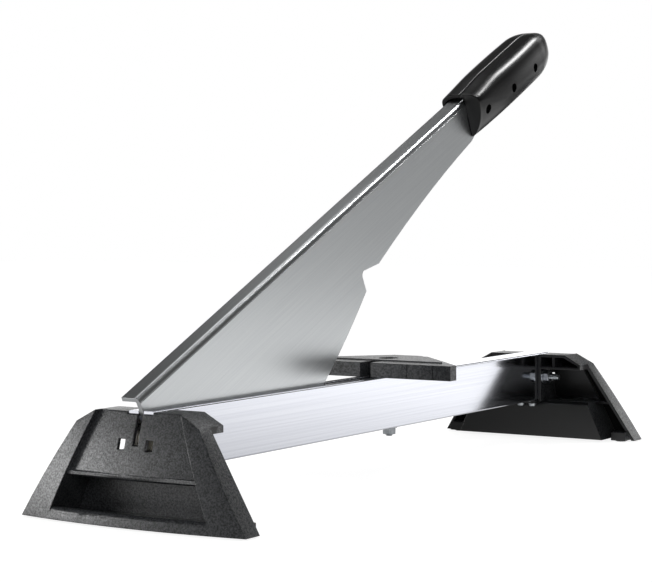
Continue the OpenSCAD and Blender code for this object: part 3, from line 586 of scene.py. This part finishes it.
# Studio: a white table, surroundings that are pale near the horizon and dark higher up, and soft lamps.
# The fades shape what shiny faces mirror. Each is a value that changes along an axis, on the floor between
# two places in metres and in the sky between two directions. The sky's rise is how high its pale band goes.
studio = {
    "ambient": 0.5,
    "skyHigh": 0.06,
    "skyFades": {
        "rise": {"axis": "X", "between": (-0.3, 0.3), "level": (0.4, 0.05)},
        "horizon": {"axis": "X", "between": (-0.3, 0.3), "level": (1.8, 0.6)},
        "frontToBack": {"axis": "Y", "between": (-0.4, 0.3), "level": (0.1, 1.0)},
    },
    "floor": {"size": 8.0, "drop": 0.0003, "shade": 0.3, "glow": 0.86},
    "floorFades": {
        "frontToBack": {"axis": "Y", "between": (-0.5, 0.6), "level": (0.25, 1.25)},
        "leftFront": {"axis": "Y", "between": (-0.45, -0.3), "level": (1.0, 0.2)},
        "leftEdge": {"axis": "X", "between": (-0.9, -0.6), "level": (1.0, 0.0)},
        "leftToRight": {"axis": "X", "between": (-0.1, 0.1), "level": (0.0, 1.0)},
        "behind": {"axis": "Y", "between": (1.0, 1.4), "level": (1.0, 0.12)},
        "aside": {"axis": "X", "between": (0.35, 0.6), "level": (0.12, 1.0)},
        "far": {"axis": "Y", "between": (1.1, 2.2), "level": (1.0, 0.08)},
    },
    "lamps": {
        "key": {"at": (-0.72, -1.12, 0.26), "aim": (-0.03, -0.29, 0.04), "size": (0.16, 0.5),
                "spread": 26, "power": 0.012},
        "leftSide": {"at": (-1.0, -0.93, 0.2), "aim": (-0.09, -0.29, 0.03), "size": (0.5, 0.3),
                     "spread": 36, "power": 0.2},
        "fill": {"at": (0.9, -1.5, 0.6), "aim": (-0.02, -0.36, 0.03), "size": (0.6, 0.6),
                 "spread": 22, "power": 0.2},
        "overhead": {"at": (0.2, 0.95, 1.45), "aim": (0.0, 0.1, 0.2), "size": (0.5, 1.4),
                     "spread": 180, "power": 3},
        "gripTop": {"at": (0.2, 0.95, 1.45), "aim": (0.0, 0.33, 0.4), "size": (0.3, 0.6),
                    "spread": 22, "power": 0.24},
        "flangeSky": {"at": (-0.53, 0.35, 1.45), "aim": (0.0, -0.1, 0.15), "size": (0.4, 0.6),
                      "spread": 180, "power": 1.0},
        "backRight": {"at": (0.8, 2.05, 0.85), "aim": (0.08, 0.0, 0.04), "size": (0.6, 0.8),
                      "spread": 180, "power": 1.4},
        "rearEdge": {"at": (0.51, 1.72, 0.54), "aim": (0.09, 0.28, 0.04), "size": (0.3, 0.3),
                     "spread": 26, "power": 0.02},
    },
}


def fadeLevels(tree, axes, fades):        # the socket that gives each fade's value
    levels = {}
    for name, fade in fades.items():
        (start, end), (first, last) = fade["between"], fade["level"]
        node = addNode(tree, "ShaderNodeMapRange", {"From Min": start, "From Max": end,
                                                    "To Min": first, "To Max": last},
                       {"Value": axes[fade["axis"]]})
        levels[name] = node.outputs[0]
    return levels


def makeFloor():
    look = studio["floor"]
    bpy.ops.mesh.primitive_plane_add(size=look["size"], location=(0, 0, -look["drop"]))
    floor = bpy.context.object
    floor.name = "floor"
    material, tree, shader, place = newMaterial("paleTable")
    tree.nodes.remove(shader)
    path = addNode(tree, "ShaderNodeLightPath").outputs
    axes = addNode(tree, "ShaderNodeSeparateXYZ", links={0: place}).outputs
    fade = fadeLevels(tree, axes, studio["floorFades"])
    left = addNode(tree, "ShaderNodeMath", links={0: fade["leftFront"], 1: fade["leftEdge"]},
                   operation="MAXIMUM")
    mirrored = addNode(tree, "ShaderNodeMix", links={"Factor": fade["leftToRight"], "A": left.outputs[0],
                                                     "B": fade["frontToBack"]})
    clear = addNode(tree, "ShaderNodeMath", links={0: fade["behind"], 1: fade["aside"]}, operation="MAXIMUM")
    for share in (clear.outputs[0], fade["far"]):
        mirrored = addNode(tree, "ShaderNodeMath", links={0: mirrored.outputs[0], 1: share},
                           operation="MULTIPLY")
    level = addNode(tree, "ShaderNodeMix", {"A": look["glow"]}, {"Factor": path["Is Glossy Ray"],
                                                                 "B": mirrored.outputs[0]})
    # The glow is seen by the camera and in mirrors. Dull faces get only what the table scatters.
    seen = addNode(tree, "ShaderNodeMath", links={0: path["Is Camera Ray"], 1: path["Is Glossy Ray"]},
                   operation="MAXIMUM")
    seen = addNode(tree, "ShaderNodeMath", links={0: seen.outputs[0], 1: path["Is Transmission Ray"]},
                   operation="MAXIMUM")
    glow = addNode(tree, "ShaderNodeMath", links={0: seen.outputs[0], 1: level.outputs[0]},
                   operation="MULTIPLY")
    lit = addNode(tree, "ShaderNodeEmission", {"Color": (1, 1, 1, 1)}, {"Strength": glow.outputs[0]})
    dull = addNode(tree, "ShaderNodeBsdfDiffuse", {"Color": (look["shade"],) * 3 + (1,)})
    both = addNode(tree, "ShaderNodeAddShader", links={0: lit.outputs[0], 1: dull.outputs[0]})
    table = addNode(tree, "ShaderNodeMixShader", links={0: path["Is Glossy Ray"], 1: both.outputs[0],
                                                        2: lit.outputs[0]})
    tree.links.new(table.outputs[0], tree.nodes["Material Output"].inputs["Surface"])
    floor.data.materials.append(material)


def makeSky():
    world = bpy.data.worlds.new("studio")
    scene.world = world
    world.use_nodes = True
    tree = world.node_tree
    tree.nodes.clear()
    path = addNode(tree, "ShaderNodeLightPath").outputs
    where = addNode(tree, "ShaderNodeTexCoord")
    axes = addNode(tree, "ShaderNodeSeparateXYZ", links={0: where.outputs["Generated"]}).outputs
    fade = fadeLevels(tree, axes, studio["skyFades"])
    high = addNode(tree, "ShaderNodeMapRange", {"From Min": 0.0, "To Max": studio["skyHigh"]},
                   {"Value": axes["Z"], "From Max": fade["rise"], "To Min": fade["horizon"]})
    mirrored = addNode(tree, "ShaderNodeMath", links={0: high.outputs[0], 1: fade["frontToBack"]},
                       operation="MULTIPLY")
    dim = addNode(tree, "ShaderNodeMix", {"A": studio["ambient"]}, {"Factor": path["Is Glossy Ray"],
                                                                    "B": mirrored.outputs[0]})
    shown = addNode(tree, "ShaderNodeMath", links={0: path["Is Camera Ray"], 1: path["Is Transmission Ray"]},
                    operation="MAXIMUM")
    level = addNode(tree, "ShaderNodeMix", {"B": 1.0}, {"Factor": shown.outputs[0], "A": dim.outputs[0]})
    sky = addNode(tree, "ShaderNodeBackground", {"Color": (1, 1, 1, 1)}, {"Strength": level.outputs[0]})
    out = addNode(tree, "ShaderNodeOutputWorld")
    tree.links.new(sky.outputs[0], out.inputs["Surface"])


def makeLamps():
    for name, lamp in studio["lamps"].items():
        data = bpy.data.lights.new(name, "AREA")
        data.shape = "RECTANGLE"
        data.size, data.size_y = lamp["size"]
        data.energy = lamp["power"]
        data.spread = math.radians(lamp["spread"])
        holder = bpy.data.objects.new(name, data)
        holder.location = lamp["at"]
        way = Vector(lamp["aim"]) - Vector(lamp["at"])
        holder.rotation_euler = way.to_track_quat("-Z", "Y").to_euler()
        scene.collection.objects.link(holder)


makeCamera()
makeFloor()
makeSky()
makeLamps()
scene.view_settings.view_transform = "Standard"
print("camera and studio set")
